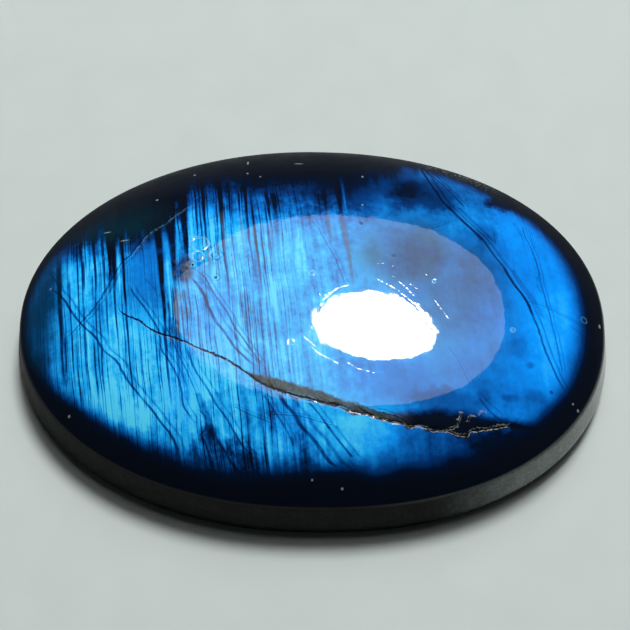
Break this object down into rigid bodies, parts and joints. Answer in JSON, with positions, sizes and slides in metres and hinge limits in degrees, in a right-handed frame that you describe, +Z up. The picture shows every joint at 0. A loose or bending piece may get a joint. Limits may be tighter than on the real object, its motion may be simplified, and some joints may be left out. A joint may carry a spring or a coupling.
{
  "type": "labradorite cabochon",
  "caption": "Oval labradorite cabochon with a polished dome of blue flash over dark stone, a low wall and a flat back, for a pendant or ring setting.",
  "frame": {"origin": "centre of the flat back, on the surface that the stone rests on", "axes": "+X along the oval's long axis, towards its fuller end; +Z up through the dome; +Y across the oval"},
  "size_m": [0.04, 0.0284, 0.0079],
  "materials": {
    "labradorite": "mirror-polished dark feldspar with blue labradorescence, fine cleavage lines and one long healed fracture"
  },
  "bodies": {
    "root": {"labradorite_cabochon": "labradorite"}
  },
  "joints": []
}
